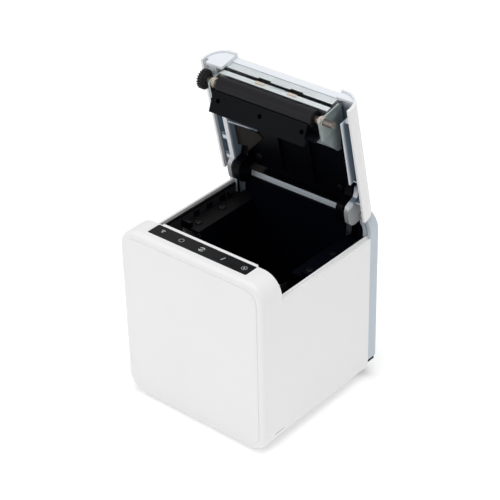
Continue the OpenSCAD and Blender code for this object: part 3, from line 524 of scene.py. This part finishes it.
def screw_mesh(radius, top_z, shank_r, length):
    """Pan-head screw with a cross recess: its head is on top, its shank points down."""
    count = 32
    edge = top_z * 0.35
    profile = [(shank_r * 0.8, -length), (shank_r, -length + shank_r * 0.3), (shank_r, 0.0),
               (radius, 0.0), (radius, top_z - edge), (radius - edge * 0.3, top_z - edge * 0.3),
               (radius - edge, top_z)]
    angles = [2 * math.pi * k / count for k in range(count)]
    bm = bmesh.new()
    rings = [[bm.verts.new((r * math.cos(a), r * math.sin(a), z)) for a in angles] for r, z in profile]
    tip = bm.verts.new((0, 0, -length))
    for k in range(count):
        n = (k + 1) % count
        bm.faces.new((tip, rings[0][n], rings[0][k]))
        for lower, upper in zip(rings, rings[1:]):
            bm.faces.new((lower[k], lower[n], upper[n], upper[k]))
    cross = cross_outline(radius * 0.55, radius * 0.13)
    top = [v.co.copy() for v in rings[-1]]
    rim = [bm.verts.new((c.x, c.y, top_z)) for c in cross]
    floor_z = top_z - min(top_z * 0.6, radius * 0.5)
    floor = [bm.verts.new((c.x * 0.8, c.y * 0.8, floor_z)) for c in cross]
    ring = rings[-1] + rim
    for face in tessellate_polygon([[Vector((v.x, v.y, 0)) for v in top], cross]):
        bm.faces.new([ring[i] for i in face])
    for k in range(len(cross)):
        n = (k + 1) % len(cross)
        bm.faces.new((rim[k], rim[n], floor[n], floor[k]))
    bm.faces.new(floor)
    bmesh.ops.recalc_face_normals(bm, faces=bm.faces)
    mesh = bpy.data.meshes.new("screw")
    bm.to_mesh(mesh)
    bm.free()
    return mesh


def solid_boxes(name, turn):
    """Lowest and highest corner of each separate solid of a CAD node, with a turn undone."""
    undo = turn.inverted()
    bm = bmesh.new()
    bm.from_mesh(NODES[name].data)
    bmesh.ops.remove_doubles(bm, verts=bm.verts, dist=MERGE)
    left = set(bm.verts)
    boxes = []
    while left:
        stack, seen = [next(iter(left))], set()
        while stack:
            v = stack.pop()
            if v not in seen:
                seen.add(v)
                stack.extend(e.other_vert(v) for e in v.link_edges)
        left -= seen
        places = [undo @ v.co for v in seen]
        boxes.append([Vector([pick(p[i] for p in places) for i in range(3)]) for pick in (min, max)])
    bm.free()
    return sorted(boxes, key=lambda b: (round(b[0].x, 5), round(b[0].y, 5)))


def screws(name, head_r, head_h, shank_r, turn=Matrix.Identity(4), head_up=False):
    """Cross-head screws in place of the plain ones of a CAD node, one for each solid; sizes in mm."""
    joined = bmesh.new()
    for low, high in solid_boxes(name, turn):
        length = high.z - low.z - head_h * MM
        part = screw_mesh(head_r * MM, head_h * MM, shank_r * MM, length)
        spin = Matrix.Rotation(random.uniform(0, math.pi / 2), 4, "Z")
        flip = Matrix.Identity(4) if head_up else Matrix.Rotation(math.pi, 4, "X")
        seat = high.z - head_h * MM if head_up else low.z + head_h * MM
        middle = (low + high) / 2
        part.transform(turn @ Matrix.Translation((middle.x, middle.y, seat)) @ flip @ spin)
        joined.from_mesh(part)
    mesh = bpy.data.meshes.new(name + "_detail")
    joined.to_mesh(mesh)
    joined.free()
    mesh.shade_smooth()
    mesh.set_sharp_from_angle(angle=math.radians(32))
    add(name + "_detail", mesh, NODES[name]["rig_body"], SLOT_OF[name], name)


def contacts(name, node_name, count, low_z, rise):
    """Sprung contact wires inside a socket: each slants down from its front end to the rear."""
    low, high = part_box(node_name)
    middle_x = (low.x + high.x) / 2 / MM
    start_y, end_y = 103.0, 110.0
    middle_y = (start_y + end_y) / 2
    pitch = 1.02
    wire_r = 0.22 * MM
    joined = bmesh.new()
    for i in range(count):
        x = middle_x + (i - (count - 1) / 2) * pitch
        line = [at(x, start_y, low_z + rise), at(x, middle_y, low_z + rise * 0.9), at(x, end_y, low_z)]
        joined.from_mesh(tube(line, wire_r))
    mesh = bpy.data.meshes.new(name)
    joined.to_mesh(mesh)
    joined.free()
    add(name, mesh, NODES[node_name]["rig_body"], "brass_spring")


for name, obj in NODES.items():
    paint(obj, SLOT_OF[name], name)
for name, width in EDGE_RADII.items():
    soften(name, width)
blade_coil()
contacts("lan_contacts", "lan_port", count=8, low_z=12.2, rise=4.6)
contacts("drawer_contacts", "drawer_port", count=6, low_z=11.0, rise=4.2)
screws("base_screws", head_r=1.7, head_h=0.75, shank_r=1.2)
screws("bin_screws", head_r=2.4, head_h=1.2, shank_r=1.25, head_up=True)
screws("lid_screws", head_r=2.5, head_h=1.2, shank_r=1.05, turn=lid_turn())


# ---------------------------------------------------------------- stage
def floor():
    """A pale floor with a faint glow, as of a lit table, which keeps the shadow soft."""
    size = 6.0
    mesh = bpy.data.meshes.new("floor")
    corners = [(-size, -size, 0), (size, -size, 0), (size, size, 0), (-size, size, 0)]
    mesh.from_pydata(corners, [], [(0, 1, 2, 3)])
    obj = bpy.data.objects.new("floor", mesh)
    bpy.context.scene.collection.objects.link(obj)
    white, _, bsdf = start_material("floor_white", (0.95, 0.95, 0.95), 0.9)
    bsdf.inputs["Emission Color"].default_value = (1.0, 1.0, 1.0, 1)
    bsdf.inputs["Emission Strength"].default_value = 0.19
    obj.data.materials.append(white)


def softbox(name, place, target, size, power):
    """A square white light that faces a point."""
    data = bpy.data.lights.new(name, "AREA")
    data.shape = "RECTANGLE"
    data.size, data.size_y = size, size
    data.energy = power
    obj = bpy.data.objects.new(name, data)
    bpy.context.scene.collection.objects.link(obj)
    obj.location = place
    obj.rotation_euler = (Vector(target) - Vector(place)).to_track_quat("-Z", "Y").to_euler()


def studio():
    """An even white surround, with soft lights at the front left, at the right and overhead."""
    world = bpy.data.worlds.new("studio")
    bpy.context.scene.world = world
    world.use_nodes = True
    sky = world.node_tree.nodes["Background"]
    sky.inputs["Color"].default_value = (1.0, 1.0, 1.0, 1)
    sky.inputs["Strength"].default_value = 0.5
    middle = (0, 0, 0.1)
    softbox("key", (-0.7, -1.3, 1.0), middle, 1.2, 7.0)
    softbox("side", (1.6, -0.5, 0.8), middle, 1.0, 1.7)
    softbox("top", (0.2, 0.1, 1.8), middle, 1.4, 17.0)
    bpy.context.scene.view_settings.view_transform = "Standard"


def camera():
    """The lens and place solved from the straight edges of the body."""
    azimuth, elevation, roll = (math.radians(a) for a in (40.745, 32.371, -1.398))
    forward = Vector((-math.sin(azimuth) * math.cos(elevation), math.cos(azimuth) * math.cos(elevation),
                      -math.sin(elevation)))
    right = Vector((math.cos(azimuth), math.sin(azimuth), 0))
    up = right.cross(forward)
    turned = right * math.cos(roll) + up * math.sin(roll)
    upright = -right * math.sin(roll) + up * math.cos(roll)
    data = bpy.data.cameras.new("camera")
    data.sensor_width = 36.0
    data.lens = 116.81
    data.clip_end = 20
    obj = bpy.data.objects.new("camera", data)
    bpy.context.scene.collection.objects.link(obj)
    turn = Matrix((turned, upright, -forward)).transposed().to_4x4()
    obj.matrix_world = Matrix.Translation(at(616.06, -651.96, 708.65)) @ turn
    bpy.context.scene.camera = obj


floor()
studio()
camera()
